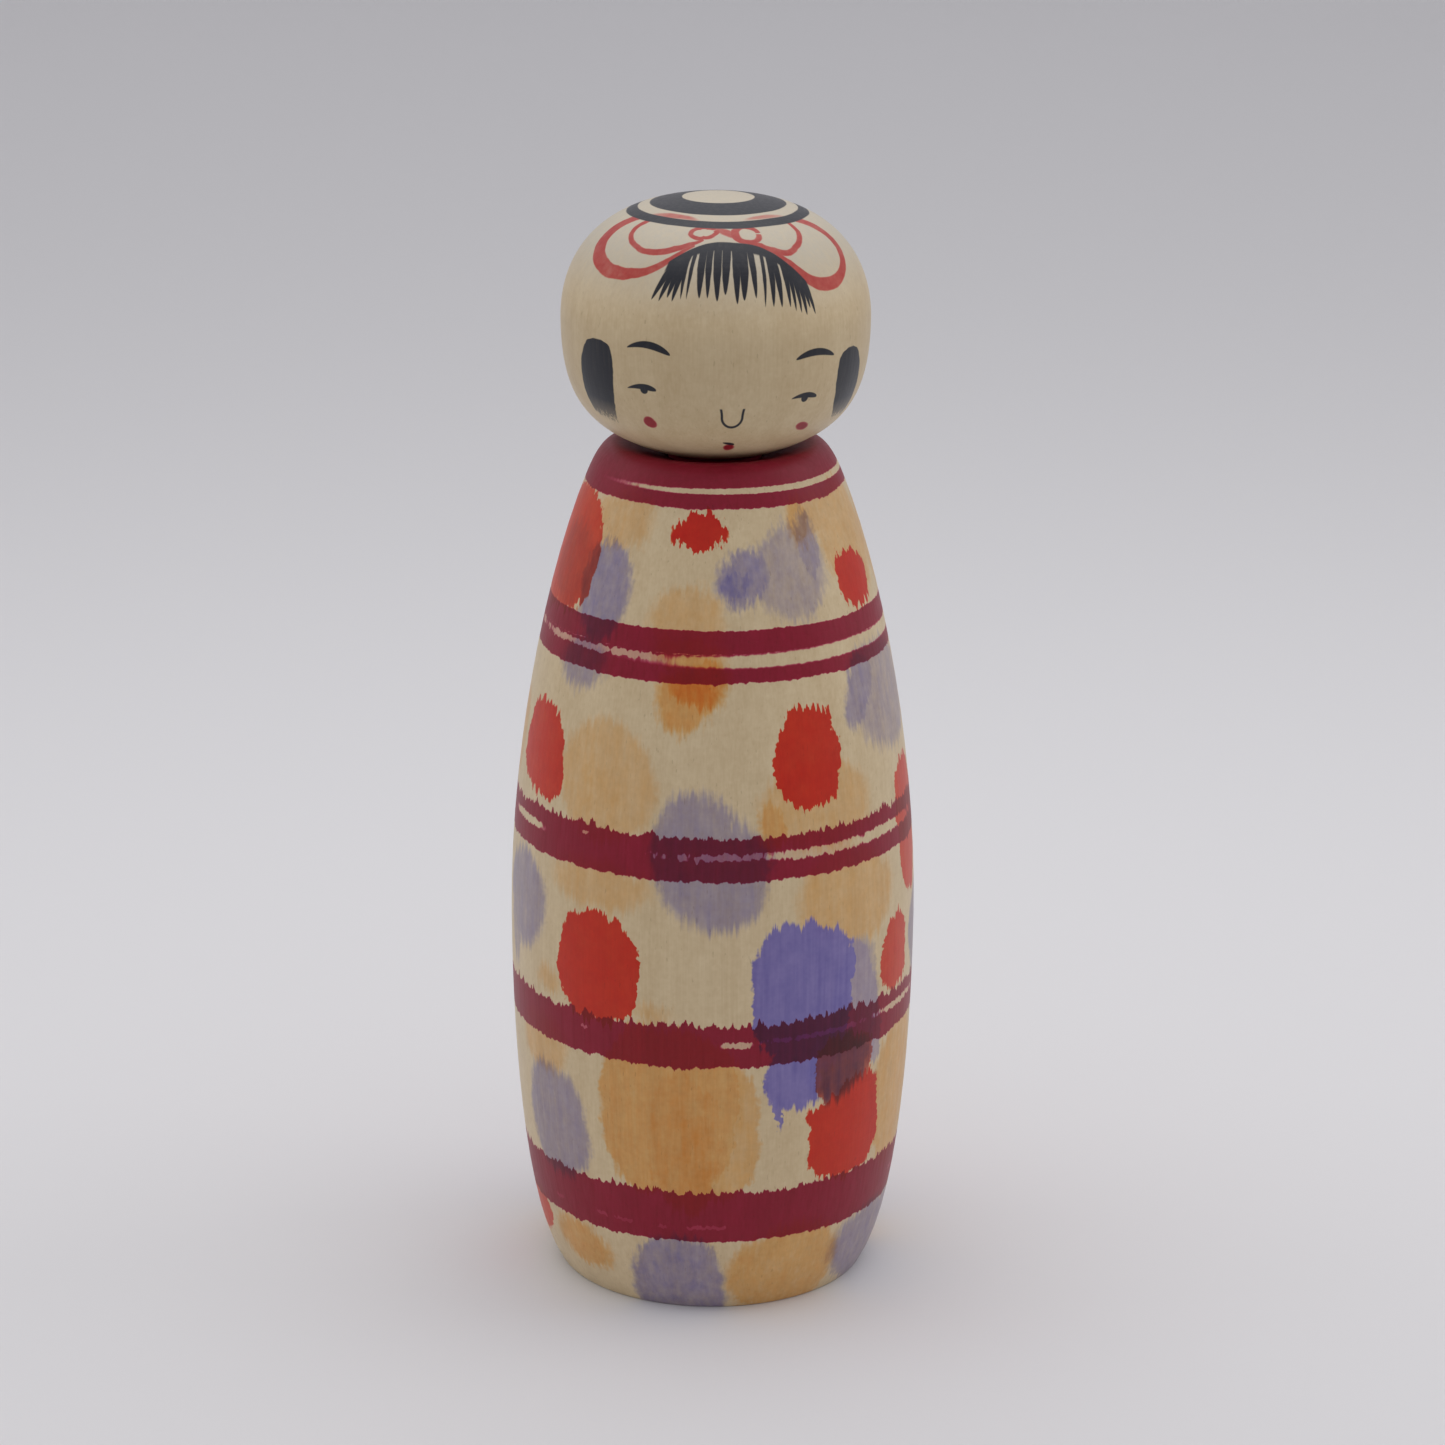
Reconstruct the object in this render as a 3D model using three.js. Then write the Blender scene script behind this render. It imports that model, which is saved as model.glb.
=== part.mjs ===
// A turned wooden kokeshi doll: a barrel body and a ball head whose neck is sprung into it.
//
// Units are millimetres and +Z is up. The origin is the centre of the foot, on the surface
// that the doll stands on, and the doll's own axis is Z. The face looks towards -Y.
// Both pieces are lathe work, so each one is a single outline of radii and heights that
// starts and ends on the axis and is swept once round it.

import * as THREE from 'three';

// ---- driving dimensions -------------------------------------------------------------

const sweepSides = 64; // flats that stand for each full circle

// Foot: a flat ring to stand on, round a shallow hollow that keeps the doll from rocking
const footHollow = { radius: 11, height: 0.6 };
const footRingInner = { radius: 14, height: 0 };
const footRingOuter = { radius: 20.75, height: 0 };
const footEdge = { radius: 21.2, height: 0.3 };

// Barrel, from the foot edge past the belly to the shoulder
const belly = { radius: 27.55, height: 50.3 };
const shoulder = { radius: 17.1, height: 111.3 };

// Rim of the body, and the dish inside it that the head sits over
const rim = { radius: 13.3, height: 116 };
const dishFloor = { radius: 7.2, height: 114.4 };

// Neck hole, and the undercut chamber that it opens into
const neckHoleMouth = { radius: 6.5, height: 113.9 };
const neckHoleEnd = { radius: 6.5, height: 107.3 };
const chamberTop = { radius: 8, height: 105.9 };
const chamberFloor = { radius: 8, height: 98.8 };
const drillPoint = { radius: 0, height: 95.8 };

// Head, from where it leaves the neck to the crown
const underside = { radius: 6.9, height: 114.85 };
const equator = { radius: 20.42, height: 132.8 };
const crown = { radius: 0, height: 148.8 };

// Neck, and the bulb at its end that keeps the head in the body
const neckTop = { radius: 6.2, height: 114.4 };
const neckBase = { radius: 6.2, height: 106.7 };
const bulb = { radius: 7.4, height: 103.5 };
const tenonTip = { radius: 4.6, height: 99.3 };

// Directions that the outline takes, as [outwards, upwards]
const out = [1, 0];
const inwards = [-1, 0];
const up = [0, 1];
const footFlare = [0.63, 1];
const shoulderLean = [-0.4, 1];
const dishFall = [-1, -0.25];
const undersideRise = [1, 0.3275];
const bulbNeckLean = [-0.6, 1];

// ---- outline helpers ----------------------------------------------------------------

const point = ({ radius, height }) => new THREE.Vector2(radius, height);

// A smooth stretch of outline from `start` to `end`, without its first point. It leaves and
// arrives in the two directions given, and holds each one for its share of `fullness`, in mm.
function curve(start, leaving, end, arriving, fullness, steps) {
  const leave = new THREE.Vector2(...leaving).setLength(fullness[0]);
  const arrive = new THREE.Vector2(...arriving).setLength(fullness[1]);
  const bezier = new THREE.CubicBezierCurve(
    point(start),
    point(start).add(leave),
    point(end).sub(arrive),
    point(end),
  );
  return bezier.getPoints(steps).slice(1);
}

// Sweeps an outline round the Z axis and gives the solid its name and finish.
function turned(name, outline, material) {
  const geometry = new THREE.LatheGeometry(outline, sweepSides);
  geometry.rotateX(Math.PI / 2);
  const mesh = new THREE.Mesh(geometry, material);
  mesh.name = name;
  return mesh;
}

// ---- barrel body --------------------------------------------------------------------

function bodyOutline() {
  const footMiddle = { radius: 0, height: footHollow.height };
  return [
    point(footMiddle),
    point(footHollow),
    point(footRingInner),
    point(footRingOuter),
    ...curve(footRingOuter, out, footEdge, footFlare, [0.25, 0.15], 2),
    ...curve(footEdge, footFlare, belly, up, [9.6, 16.9], 9),
    ...curve(belly, up, shoulder, shoulderLean, [21.6, 15.7], 11),
    ...curve(shoulder, shoulderLean, rim, inwards, [3.1, 1.5], 5),
    ...curve(rim, inwards, dishFloor, dishFall, [1, 2.6], 4),
    point(neckHoleMouth),
    point(neckHoleEnd),
    point(chamberTop),
    point(chamberFloor),
    point(drillPoint),
  ];
}

// ---- head, neck and bulb ------------------------------------------------------------

function headOutline() {
  const tipMiddle = { radius: 0, height: tenonTip.height };
  return [
    point(tipMiddle),
    point(tenonTip),
    ...curve(tenonTip, out, bulb, up, [1.2, 2], 5),
    ...curve(bulb, up, neckBase, bulbNeckLean, [1.3, 1], 4),
    point(neckTop),
    ...curve(neckTop, up, underside, undersideRise, [0.3, 0.3], 2),
    ...curve(underside, undersideRise, equator, up, [9.7, 11.9], 11),
    ...curve(equator, up, crown, inwards, [6.1, 17.4], 12),
  ];
}

// ---- the doll -----------------------------------------------------------------------

const bodyWood = new THREE.MeshStandardMaterial({ color: 0xd8c9a4, roughness: 0.5, metalness: 0 });
const headWood = new THREE.MeshStandardMaterial({ color: 0xdccdab, roughness: 0.45, metalness: 0 });

const doll = new THREE.Group();
doll.add(turned('barrel_body', bodyOutline(), bodyWood));
doll.add(turned('head_with_neck_tenon', headOutline(), headWood));

export default doll;
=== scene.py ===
import math

import bpy
from mathutils import Euler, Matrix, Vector


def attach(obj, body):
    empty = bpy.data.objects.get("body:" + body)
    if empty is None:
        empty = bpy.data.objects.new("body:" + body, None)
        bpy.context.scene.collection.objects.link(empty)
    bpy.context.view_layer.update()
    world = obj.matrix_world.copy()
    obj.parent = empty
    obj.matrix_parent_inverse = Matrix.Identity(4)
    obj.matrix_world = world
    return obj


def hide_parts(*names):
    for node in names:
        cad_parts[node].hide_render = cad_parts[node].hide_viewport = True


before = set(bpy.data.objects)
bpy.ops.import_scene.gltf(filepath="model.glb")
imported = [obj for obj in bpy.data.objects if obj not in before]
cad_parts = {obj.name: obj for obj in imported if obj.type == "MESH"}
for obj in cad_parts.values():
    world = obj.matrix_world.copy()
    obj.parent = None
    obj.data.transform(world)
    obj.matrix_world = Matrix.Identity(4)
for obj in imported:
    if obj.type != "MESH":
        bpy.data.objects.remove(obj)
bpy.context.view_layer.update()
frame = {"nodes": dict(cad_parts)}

mm = 0.001
degree = math.pi / 180
print("frame loaded:", ", ".join(frame["nodes"]))


camera = {
    "eye": (1.2, -553.6, 248.3),  # mm from the middle of the foot
    "tilt": 17.22,  # degrees below level
    "roll": 0.34,
    "lens": 106.65,
}


def setCamera(look):
    data = bpy.data.cameras.new("studioCamera")
    data.lens = look["lens"]
    data.sensor_width = 36
    data.clip_start = 0.01
    data.clip_end = 20
    holder = bpy.data.objects.new("studioCamera", data)
    bpy.context.collection.objects.link(holder)
    turn = Euler((math.pi / 2 - look["tilt"] * degree, 0, 0)).to_matrix()
    spin = Euler((0, 0, look["roll"] * degree)).to_matrix()
    holder.rotation_euler = (turn @ spin).to_euler()
    holder.location = Vector(look["eye"]) * mm
    bpy.context.scene.camera = holder


setCamera(camera)
bpy.context.scene.view_settings.view_transform = "Standard"
print("camera set")


def pickNothing():
    if bpy.context.object and bpy.context.object.mode != "OBJECT":
        bpy.ops.object.mode_set(mode="OBJECT")
    bpy.ops.object.select_all(action="DESELECT")


# One stretch of outline is a list of corners: (radius, height, way in, way out), in mm.
# A way is the offset of that side's handle, and a way of None makes a sharp, straight side.
def drawOutline(name, corners, fineness):
    pickNothing()
    bpy.ops.curve.primitive_bezier_curve_add(location=(0, 0, 0))
    outline = bpy.context.object
    outline.name = name
    outline.data.dimensions = "3D"
    outline.data.resolution_u = fineness
    spline = outline.data.splines[0]
    spline.bezier_points.add(len(corners) - len(spline.bezier_points))
    for knot, (radius, height, wayIn, wayOut) in zip(spline.bezier_points, corners):
        place = Vector((radius, 0, height)) * mm
        knot.handle_left_type = knot.handle_right_type = "FREE"
        knot.co = place
        knot.handle_left = place + (Vector((wayIn[0], 0, wayIn[1])) * mm if wayIn else Vector())
        knot.handle_right = place + (Vector((wayOut[0], 0, wayOut[1])) * mm if wayOut else Vector())


lathe = {
    "join": 0.002,  # mm: points nearer than this become one
    "sharp edge": 50,  # degrees: a steeper edge is left sharp
}


# Draws an outline and spins it round the upright axis into a closed, smooth turned piece.
def turnOnLathe(name, corners, fineness, sides):
    drawOutline(name, corners, fineness)
    bpy.ops.object.convert(target="MESH")
    piece = bpy.context.object
    bpy.ops.object.mode_set(mode="EDIT")
    bpy.ops.mesh.select_all(action="SELECT")
    bpy.ops.mesh.remove_doubles(threshold=lathe["join"] * mm)
    bpy.ops.mesh.select_all(action="SELECT")
    bpy.ops.mesh.spin(steps=sides, angle=2 * math.pi, center=(0, 0, 0), axis=(0, 0, 1))
    bpy.ops.mesh.select_all(action="SELECT")
    bpy.ops.mesh.remove_doubles(threshold=lathe["join"] * mm)
    bpy.ops.mesh.select_all(action="SELECT")
    bpy.ops.mesh.normals_make_consistent(inside=False)
    bpy.ops.object.mode_set(mode="OBJECT")
    bpy.ops.object.shade_smooth_by_angle(angle=lathe["sharp edge"] * degree)
    piece.data.name = piece.name
    return piece


# a way along a direction, `reach` mm long, and backwards when that is negative
def along(direction, reach):
    size = math.hypot(*direction)
    return (direction[0] / size * reach, direction[1] / size * reach)


bodyShape = {  # mm, radius and height
    "foot hollow": (10.5, 0.6),
    "foot ring": (14.0, 20.75),
    "foot edge": (21.2, 0.3),
    "belly": (27.55, 50.3),
    "shoulder": (17.1, 111.3),
    "rim": (13.3, 116.0),
    "dish floor": (7.2, 114.4),
    "neck hole": (6.5, 113.9, 107.3),
    "chamber": (8.0, 105.9, 98.8),
    "drill point": 95.8,
    "foot flare": (0.63, 1.0),
    "shoulder lean": (-0.4, 1.0),
    "tool marks": 5,  # rings that the chisel leaves in the foot hollow
    "tool mark depth": 0.07,
    "tool mark start": 1.5,
}


def makeBody(shape):
    hollowRadius, hollowHeight = shape["foot hollow"]
    ringInner, ringOuter = shape["foot ring"]
    holeRadius, holeTop, holeEnd = shape["neck hole"]
    chamberRadius, chamberTop, chamberFloor = shape["chamber"]
    flare = shape["foot flare"]
    lean = shape["shoulder lean"]
    corners = [(0, hollowHeight + 0.5, None, None), (0.7, hollowHeight, None, None)]
    firstMark = shape["tool mark start"]
    markWidth = (hollowRadius - firstMark) / shape["tool marks"]
    for mark in range(shape["tool marks"]):
        start = firstMark + mark * markWidth
        depth = hollowHeight + shape["tool mark depth"] * (1 if mark % 2 else -1)
        corners.append((start, hollowHeight, None, None))
        corners.append((start + markWidth / 2, depth, (-0.4, 0), (0.4, 0)))
    corners += [
        (hollowRadius, hollowHeight, None, None),
        (ringInner - 0.5, 0.08, (-0.8, 0.25), (0.2, -0.06)),
        (ringInner, 0, (-0.2, 0), None),
        (ringOuter, 0, None, (0.25, 0)),
        (*shape["foot edge"], along(flare, -0.15), along(flare, 9.6)),
        (*shape["belly"], (0, -16.9), (0, 21.6)),
        (*shape["shoulder"], along(lean, -15.7), along(lean, 3.1)),
        (*shape["rim"], (1.5, 0), (-1, 0)),
        (*shape["dish floor"], (2.5, 0.65), None),
        (holeRadius + 0.15, holeTop + 0.25, None, None),
        (holeRadius, holeTop, (0, 0.15), None),
        (holeRadius, holeEnd, None, None),
        (chamberRadius, chamberTop, None, None),
        (chamberRadius, chamberFloor, None, None),
        (0, shape["drill point"], None, None),
    ]
    return turnOnLathe("turnedBarrelBody", corners, 14, 192)


headShape = {
    "tenon tip": (4.6, 99.3),
    "bulb": (7.4, 103.5),
    "neck": (6.2, 106.7, 114.4),
    "underside": (6.9, 114.85),
    "equator": (20.42, 132.8),
    "crown": 148.8,
    "underside rise": (1.0, 0.3275),
    "bulb lean": (-0.6, 1.0),
}


def makeHead(shape):
    neckRadius, neckBase, neckTop = shape["neck"]
    tipRadius, tipHeight = shape["tenon tip"]
    rise = shape["underside rise"]
    corners = [
        (0, tipHeight, None, None),
        (tipRadius, tipHeight, None, (1.2, 0)),
        (*shape["bulb"], (0, -2), (0, 1.3)),
        (neckRadius, neckBase, along(shape["bulb lean"], -1), None),
        (neckRadius, neckTop, None, (0, 0.3)),
        (*shape["underside"], along(rise, -0.3), along(rise, 9.7)),
        (*shape["equator"], (0, -11.9), (0, 6.1)),
        (0, shape["crown"], (17.4, 0), None),
    ]
    return turnOnLathe("turnedBallHead", corners, 40, 192)


body = makeBody(bodyShape)
print("body turned:", len(body.data.polygons), "faces")
head = makeHead(headShape)
print("head turned:", len(head.data.polygons), "faces")


class Wire:  # a value that varies over the surface, as a node's output
    def __init__(self, recipe, socket):
        self.recipe = recipe
        self.socket = socket

    def __add__(self, other):
        return self.recipe.maths("ADD", self, other)

    def __radd__(self, other):
        return self.recipe.maths("ADD", other, self)

    def __sub__(self, other):
        return self.recipe.maths("SUBTRACT", self, other)

    def __rsub__(self, other):
        return self.recipe.maths("SUBTRACT", other, self)

    def __mul__(self, other):
        return self.recipe.maths("MULTIPLY", self, other)

    def __rmul__(self, other):
        return self.recipe.maths("MULTIPLY", other, self)

    def __truediv__(self, other):
        return self.recipe.maths("DIVIDE", self, other)

    def __rtruediv__(self, other):
        return self.recipe.maths("DIVIDE", other, self)

    def __pow__(self, other):
        return self.recipe.maths("POWER", self, other)

    def __abs__(self):
        return self.recipe.maths("ABSOLUTE", self)


class Recipe:  # the nodes of one finish
    def __init__(self, name):
        self.material = bpy.data.materials.new(name)
        self.material.use_nodes = True
        self.tree = self.material.node_tree
        self.tree.nodes.clear()
        self.spot = 0

    def node(self, kind, settings, values, output=0):
        made = self.tree.nodes.new(kind)
        made.location = (self.spot % 40 * 180, -(self.spot // 40) * 260)
        self.spot += 1
        for setting, value in settings.items():
            if setting == "stops":
                self.setStops(made.color_ramp, value)
            elif setting == "interpolation":
                made.color_ramp.interpolation = value
            else:
                setattr(made, setting, value)
        for name, value in values.items():
            if isinstance(value, Wire):
                self.tree.links.new(value.socket, made.inputs[name])
            else:
                made.inputs[name].default_value = value
        return Wire(self, made.outputs[output]) if made.outputs else None

    def setStops(self, ramp, stops):
        while len(ramp.elements) < len(stops):
            ramp.elements.new(1)
        for element, (place, _) in zip(ramp.elements, stops):
            element.position = place
        for element, (_, colour) in zip(ramp.elements, stops):
            element.color = (*colour, 1)

    def maths(self, operation, *values):
        return self.node("ShaderNodeMath", {"operation": operation}, dict(enumerate(values)))

    def vector(self, operation, *values, output=0):
        settings = {"operation": operation}
        return self.node("ShaderNodeVectorMath", settings, dict(enumerate(values)), output)

    def join(self, x, y, z=0.0):
        return self.node("ShaderNodeCombineXYZ", {}, {0: x, 1: y, 2: z})

    def part(self, vector, axis):
        return self.node("ShaderNodeSeparateXYZ", {}, {0: vector}, axis)

    # 1 where the value is at or below `full`, falling softly to 0 at `none`
    def fade(self, value, full, none):
        settings = {"interpolation_type": "SMOOTHSTEP"}
        return self.node("ShaderNodeMapRange", settings, {0: value, 1: none, 2: full, 3: 0.0, 4: 1.0})

    def larger(self, a, b):
        return self.maths("MAXIMUM", a, b)

    # the largest of several values, place by place
    def largest(self, values):
        total = None
        for value in values:
            total = value if total is None else self.larger(total, value)
        return total

    def noise(self, place, size, detail=2.0, roughness=0.5, output=0):
        values = {"Vector": place, "Scale": 1 / size, "Detail": detail, "Roughness": roughness}
        return self.node("ShaderNodeTexNoise", {}, values, output)

    def blend(self, way, factor, under, over):
        settings = {"data_type": "RGBA", "blend_type": way, "clamp_result": False}
        return self.node("ShaderNodeMix", settings, {0: factor, 6: under, 7: over}, 2)

    # lays a see-through dye of a given depth over what is already there
    def glaze(self, under, depth, tint):
        steps = [0, 0.25, 0.5, 0.75, 1]
        stops = [(step, [channel ** (step * dyeReach) for channel in tint]) for step in steps]
        film = self.node("ShaderNodeValToRGB", {"stops": stops}, {0: depth / dyeReach})
        return self.blend("MULTIPLY", 1.0, under, film)


dyeReach = 1.25  # the greatest depth of dye that a glaze can take
fieldOverlap = 4.0  # mm, more than a face is high

wood = {
    "heart": (0.580, 0.430, 0.240, 1),
    "pale": (0.765, 0.625, 0.402, 1),
    "fleck": (0.36, 0.25, 0.13, 1),
    "broad grain": (3.4, 70.0),  # mm across the fibres and along them
    "fine grain": (0.26, 7.0),
    "fleck grain": (0.35, 1.4),
    # how much each of these moves the tone from the heart's colour to the pale one
    "tone": {"broad": 0.75, "fine": 0.50, "ripple": 0.50, "grit": 0.45, "start": -0.37},
    "fleck limits": (0.76, 0.71),  # the fibre noise where a fleck is full, and where it ends
    "fleck strength": 0.32,
    "fibre": 0.55,  # mm between fibres
    "fibre length": 22,
    "turning": 0.32,  # mm between the fine rings left by the tool
    "tool rings": 0.010,  # mm, how far each of these stands up
    "fibre relief": 0.022,
    "ripple relief": 0.012,
    "roughness": 0.44,
}

wax = {  # the sheen, under the names of the shader's own settings
    "IOR": 1.48,
    "Specular IOR Level": 0.31,
    "Coat Weight": 0.3,
    "Coat IOR": 1.25,
    "Coat Roughness": 0.38,
}


# Everything that both finishes share: places in mm, the fibres and the bare wood.
class Painted(Recipe):
    def __init__(self, name):
        super().__init__(name)
        here = self.node("ShaderNodeTexCoord", {}, {}, 3)
        self.place = self.vector("SCALE", here)
        self.place.socket.node.inputs["Scale"].default_value = 1 / mm
        self.x = self.part(self.place, 0)
        self.y = self.part(self.place, 1)
        self.z = self.part(self.place, 2)
        self.turn = self.maths("ARCTAN2", self.x, 0 - self.y) / degree  # 0 in front, + to the viewer's right
        self.fibre = self.fibres(wood["fibre"], wood["fibre length"])
        self.cloud = self.noise(self.place, 9.0, 2.0, 0.5, 1)
        self.ripple = self.noise(self.place, 2.3, 2.0, 0.6, 1)
        self.grit = self.noise(self.place, 0.75, 1.0, 0.6, 1)

    # one channel of a noise, moved to swing about zero
    def wobble(self, noise, channel):
        return self.part(noise, channel) - 0.5

    # noise drawn out along the grain, which runs up the doll
    def fibres(self, spacing, length, detail=2.0):
        stretched = self.vector("MULTIPLY", self.place, (1 / spacing, 1 / spacing, 1 / length))
        return self.noise(stretched, 1.0, detail, 0.55)

    def bareWood(self):
        share = wood["tone"]
        broad = self.fibres(*wood["broad grain"], 3.0)
        fine = self.fibres(*wood["fine grain"])
        tone = broad * share["broad"] + fine * share["fine"] + self.part(self.ripple, 0) * share["ripple"]
        tone = tone + share["start"] + self.wobble(self.grit, 2) * share["grit"]
        colour = self.blend("MIX", tone, wood["heart"], wood["pale"])
        fleck = self.fade(self.fibres(*wood["fleck grain"], 1.0), *wood["fleck limits"])
        return self.blend("MIX", fleck * wood["fleck strength"], colour, wood["fleck"])

    # waxed wood: fine tool rings crossing the fibres
    def finish(self, colour, roughness):
        rings = self.node(
            "ShaderNodeTexNoise",
            {"noise_dimensions": "1D"},
            {"W": self.z, "Scale": 1 / wood["turning"], "Detail": 2.0},
        )
        height = rings * wood["tool rings"] * mm + self.fibre * wood["fibre relief"] * mm
        height = height + self.part(self.ripple, 1) * wood["ripple relief"] * mm
        bump = self.node("ShaderNodeBump", {}, {"Strength": 1.0, "Distance": 1.0, "Height": height})
        surface = {"Base Color": colour, "Roughness": roughness, "Normal": bump, **wax}
        shader = self.node("ShaderNodeBsdfPrincipled", {}, surface)
        self.node("ShaderNodeOutputMaterial", {}, {"Surface": shader})
        return self.material


# A dab is (turn, height, half width, half height, lean, depth): degrees and mm, lean in degrees.
violetDabs = [
    (30, 102.9, 16, 6.1, 0, 0.26),
    (-66, 101.3, 15, 5.5, 0, 0.16),
    (12, 102.2, 10.5, 3.5, 20, 0.50),
    (9, 101.5, 7.0, 2.5, 14, 0.64),
    (40, 105.3, 5.5, 4.5, 0, 0.40),
    (-43.5, 99.3, 12.5, 6.6, 0, 0.46),
    (-48, 89.8, 11, 3.4, 0, 0.34),
    (69, 84.3, 22, 7.2, -14, 0.29),
    (53, 85.8, 7, 4.8, -30, 0.42),
    (-5.5, 67.4, 12.0, 7.4, 0, 0.37),
    (1, 64.2, 15.5, 7.4, 0, 0.38),
    (-67.5, 55.6, 12.7, 6.8, 0, 0.36),
    (-75, 50.3, 5.0, 5.0, 0, 0.30),
    (45, 44.3, 8.5, 8.5, 0, 0.24),
    (39, 35.8, 11.5, 4.5, 0, 0.85),
    (-53, 25.3, 14.5, 8.3, 0, 0.39),
    (-11, 3.3, 16.5, 8.4, 0, 0.47),
    (70, 4.8, 27, 6.5, -12, 0.42),
    (83, 49.3, 7, 6.0, 0, 0.40),
    (119, 101.3, 13, 6.2, 8, 0.44),
    (168, 101.8, 15, 6.0, -6, 0.45),
    (-120, 100.3, 13, 6.8, 0, 0.46),
    (147, 77.3, 16, 8.0, 6, 0.52),
    (-133, 80.8, 14, 7.2, 0, 0.48),
    (101, 55.3, 12, 8.0, 0, 0.42),
    (172, 51.3, 15, 9.0, 0, 0.50),
    (-100, 51.3, 10, 7.0, 0, 0.40),
    (99, 29.3, 13, 8.0, 0, 0.45),
    (-168, 27.8, 16, 8.5, 0, 0.52),
    (131, 4.3, 17, 7.0, 0, 0.64),
    (-140, 4.3, 16, 7.5, 0, 0.60),
]
deepVioletDabs = [
    (24.3, 47.3, 13.0, 10.0, 0, 0.95),
    (33, 45.4, 10.3, 10.0, 0, 0.95),
    (43.5, 44.2, 9.5, 9.0, 16, 0.32),
    (24, 35.3, 8.6, 5.0, 0, 0.95),
    (19.0, 31.2, 1.0, 3.3, 0, 0.9),
    (53, 37.3, 3.2, 3.2, 0, 0.45),
    (-118, 27.3, 13, 8.2, 0, 0.85),
    (171, 76.3, 9, 4.5, 0, 0.75),
]
amberDabs = [
    (-43, 108.6, 16, 3.6, 0, 0.22),
    (-9, 96.8, 13, 4.4, 0, 0.22),
    (-8, 92.8, 12, 2.6, 0, 0.40),
    (65, 104.8, 18, 7.8, 0, 0.22),
    (46, 109.4, 13, 2.9, 0, 0.22),
    (38, 109.1, 5.5, 3.0, 0, 0.34),
    (-9.5, 87.2, 9.5, 4.4, 0, 0.46),
    (-6.5, 88.2, 9.5, 2.6, -6, 1.0),
    (-2, 89.9, 7.5, 2.6, 0, 0.66),
    (-34, 74.9, 17.0, 8.0, 0, 0.21),
    (-36, 73.6, 9.0, 4.5, 0, 0.24),
    (-34, 61.5, 17, 3.4, 0, 0.22),
    (33, 72.3, 19, 6.2, 0, 0.22),
    (17, 70.1, 4, 3.0, 0, 0.42),
    (43, 59.3, 18, 6.6, -14, 0.24),
    (69, 27.8, 15, 11.0, 0, 0.30),
    (-57, 36.3, 11, 4.2, 0, 0.24),
    (-53, 45.9, 5, 1.8, 0, 0.22),
    (-17, 44.5, 4.5, 1.2, 0, 0.20),
    (-8, 26.8, 11.5, 10.5, 0, 0.50),
    (-5, 23.5, 6.0, 8.0, 0, 0.55),
    (-47, 7.7, 12.5, 3.8, 0, 0.40),
    (26, 5.5, 20, 7.6, 0, 0.33),
    (-86, 77.3, 8, 6.0, 0, 0.22),
    (95, 103.3, 16, 6.5, 0, 0.22),
    (-156, 103.3, 18, 6.0, 0, 0.22),
    (-97, 105.8, 11, 4.5, 0, 0.22),
    (104, 79.8, 15, 8.0, 0, 0.32),
    (176, 85.8, 17, 4.5, 0, 0.50),
    (-109, 75.3, 15, 8.5, 0, 0.28),
    (148, 54.3, 16, 8.5, 0, 0.34),
    (-126, 53.8, 16, 8.5, 0, 0.28),
    (-98, 33.3, 12, 5.0, 0, 0.28),
    (105, 4.8, 15, 6.0, 0, 0.34),
    (-172, 4.8, 17, 7.0, 0, 0.44),
    (-108, 4.3, 14, 6.0, 0, 0.36),
]
fullAmberDabs = [
    (-12.5, 30.6, 20.5, 12.2, 0, 0.42),
    (-1, 27.8, 15.5, 10.5, 0, 0.28),
    (155, 29.3, 17, 9.5, 0, 0.55),
]
vermilionDabs = [
    (-5.8, 107.9, 11.4, 1.5, 0, 1.2),
    (-5.6, 107.9, 7.4, 2.5, 0, 1.2),
    (61.6, 99.9, 11.0, 3.5, 0, 1.0),
    (-74, 103.1, 24.5, 7.9, 0, 0.78),
    (-63.0, 76.9, 12.2, 6.0, -12, 0.95),
    (-56.5, 74.6, 6.6, 3.9, 0, 0.95),
    (30.0, 78.0, 11.1, 5.7, 0, 1.0),
    (30.3, 82.1, 7.8, 3.6, 0, 1.0),
    (-34.6, 49.9, 13.4, 7.7, 0, 1.0),
    (-28.8, 49.3, 8.0, 6.8, 0, 1.0),
    (43.4, 25.2, 14.2, 6.7, 0, 1.0),
    (47.3, 28.4, 9.8, 5.0, 0, 1.0),
    (32.4, 28.8, 5.0, 1.3, 0, 1.0),
    (41, 35.1, 10.5, 4.5, 0, 0.50),
    (63.5, 48.3, 8.4, 5.2, 0, 0.85),
    (77, 65.3, 9.5, 9.5, 0, 0.80),
    (-80, 8.3, 16, 3.4, 14, 0.8),
    (143, 104.3, 10, 4.2, 0, 0.95),
    (-140, 102.8, 9, 4.6, 0, 0.95),
    (124, 79.3, 11, 6.6, 0, 0.95),
    (-160, 77.8, 12, 6.2, 0, 1.0),
    (121, 51.8, 12, 7.6, 0, 1.0),
    (-151, 52.3, 12, 7.8, 0, 0.95),
    (125, 26.8, 12, 7.6, 0, 0.95),
    (-141, 26.3, 13, 8.0, 0, 1.0),
    (161, 5.8, 8, 4.6, 0, 0.9),
]

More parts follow.
